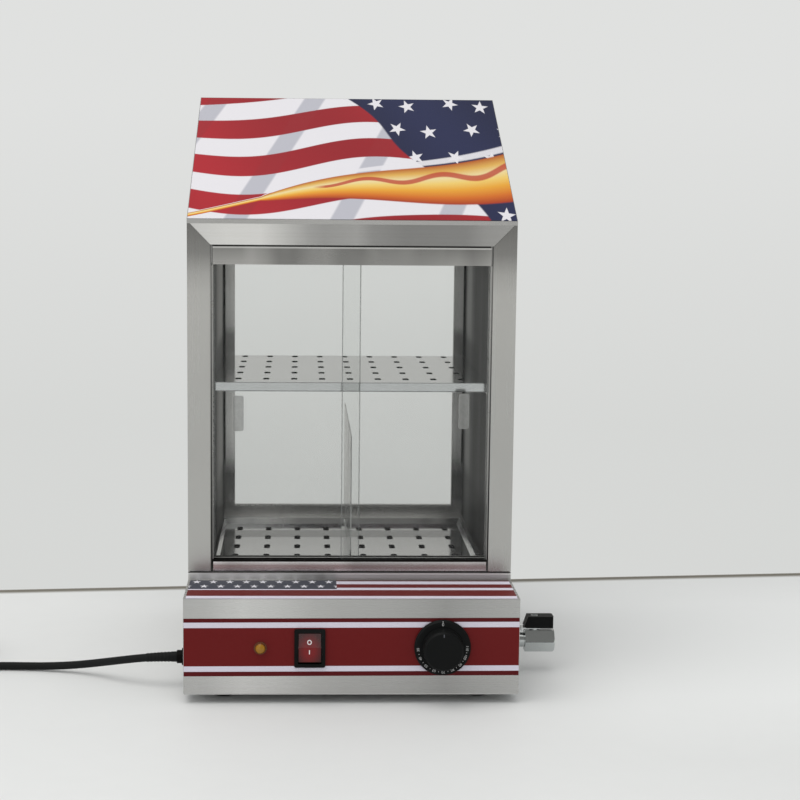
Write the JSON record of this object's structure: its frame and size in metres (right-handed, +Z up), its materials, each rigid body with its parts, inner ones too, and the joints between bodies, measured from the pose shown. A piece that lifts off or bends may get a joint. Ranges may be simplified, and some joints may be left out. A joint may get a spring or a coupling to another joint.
{
  "type": "hot dog steamer",
  "caption": "Countertop hot dog steamer: printed sloped roof, glass-fronted steel cabinet with sliding doors, slotted shelf and tray, base with tank, dial, rocker switch and drain valve",
  "frame": {"origin": "on the surface that the feet stand on, under the middle of the outline, with the drain valve, the gland and the knob counted and the mains lead left out", "axes": "X to the right, along the drain valve's outlet; Y to the back, away from the doors; Z up"},
  "size_m": [0.6636, 0.345, 0.511],
  "materials": {
    "stainless": "fine brushed stainless sheet",
    "track_aluminium": "plain extruded",
    "clear_glass": "clear, smooth",
    "frosted_plastic": "frosted, translucent",
    "black_runner": "satin",
    "foot_rubber": "matt",
    "seal_rubber": "matt",
    "screw_steel": "plated",
    "element_steel": "dull",
    "plated_brass": "nickel plated brass",
    "black_plastic": "moulded, semi-gloss",
    "amber_lens": "translucent amber",
    "ivory_plastic": "moulded",
    "red_rocker": "moulded, glossy, with a plain 0 and I",
    "wire_insulation": "smooth",
    "cord_rubber": "matt",
    "printed_vinyl": "printed film"
  },
  "bodies": {
    "cabinet": {"base_casing": "stainless", "bottom_plate": "stainless", "plinth": "stainless", "cabinet_floor": "stainless", "front_posts": "stainless", "front_top_rail": "stainless", "side_panels": "stainless", "liner_walls": "stainless", "ceiling_panel": "stainless", "rear_frame": "stainless", "rear_cover": "stainless", "water_tank": "stainless", "shelf": "stainless", "shelf_ledges": "stainless", "lower_door_track": "stainless", "roof_sheet": "stainless", "upper_door_track": "track_aluminium", "door_jambs": "track_aluminium", "rear_glass": "clear_glass", "door_runner": "black_runner", "rubber_feet": "foot_rubber", "seals": "seal_rubber", "feet_screws": "screw_steel", "panel_screws": "screw_steel", "thermostat_screws": "screw_steel", "heating_element": "element_steel", "thermostat_bulb": "element_steel", "thermal_cutout": "element_steel", "valve_body": "plated_brass", "valve_outlet": "plated_brass", "drain_locknut": "plated_brass", "element_nuts": "plated_brass", "switch_housing": "black_plastic", "cable_gland": "black_plastic", "gland_nut": "black_plastic", "lamp_body": "black_plastic", "lamp_lens": "amber_lens", "terminal_block": "ivory_plastic", "thermostat_body": "ivory_plastic", "wiring": "wire_insulation", "power_cord": "cord_rubber", "cord_coil": "cord_rubber", "power_plug": "cord_rubber", "roof_decal": "printed_vinyl", "base_decals": "printed_vinyl"},
    "left_door": {"left_door_glass": "clear_glass", "left_door_plate": "frosted_plastic"},
    "right_door": {"right_door_glass": "clear_glass", "right_door_plate": "frosted_plastic"},
    "knob": {"knob_skirt": "black_plastic", "knob_cap": "black_plastic", "thermostat_spindle": "element_steel"},
    "rocker": {"switch_rocker": "red_rocker"},
    "drain_lever": {"valve_lever": "black_plastic", "valve_stop_plate": "plated_brass", "valve_stem": "plated_brass", "valve_ball": "plated_brass", "lever_nut": "plated_brass"},
    "tray": {"bottom_tray": "stainless"},
    "divider_plate": {"divider": "stainless"}
  },
  "joints": [
    {"name": "left_door_slide", "type": "slide", "parent": "cabinet", "child": "left_door", "axis": [1, 0, 0], "range_m": [0, 0.109]},
    {"name": "right_door_slide", "type": "slide", "parent": "cabinet", "child": "right_door", "axis": [-1, 0, 0], "range_m": [0, 0.109]},
    {"name": "knob_turn", "type": "hinge", "parent": "cabinet", "child": "knob", "pos_m": [0.0585, -0.1555, 0.0491], "axis": [0, 1, 0], "range_deg": [0, 270]},
    {"name": "rocker_tilt", "type": "hinge", "parent": "cabinet", "child": "rocker", "pos_m": [-0.0519, -0.1539, 0.048], "axis": [1, 0, 0], "range_deg": [0, 24]},
    {"name": "drain_turn", "type": "hinge", "parent": "cabinet", "child": "drain_lever", "pos_m": [0.1483, -0.0595, 0.045], "axis": [0, 0, -1], "range_deg": [0, 90]},
    {"name": "tray_lift", "type": "slide", "parent": "cabinet", "child": "tray", "axis": [0, 0, 1], "range_m": [0, 0.018]},
    {"name": "divider_lift", "type": "slide", "parent": "tray", "child": "divider_plate", "axis": [0, 0, 1], "range_m": [0, 0.02]}
  ]
}
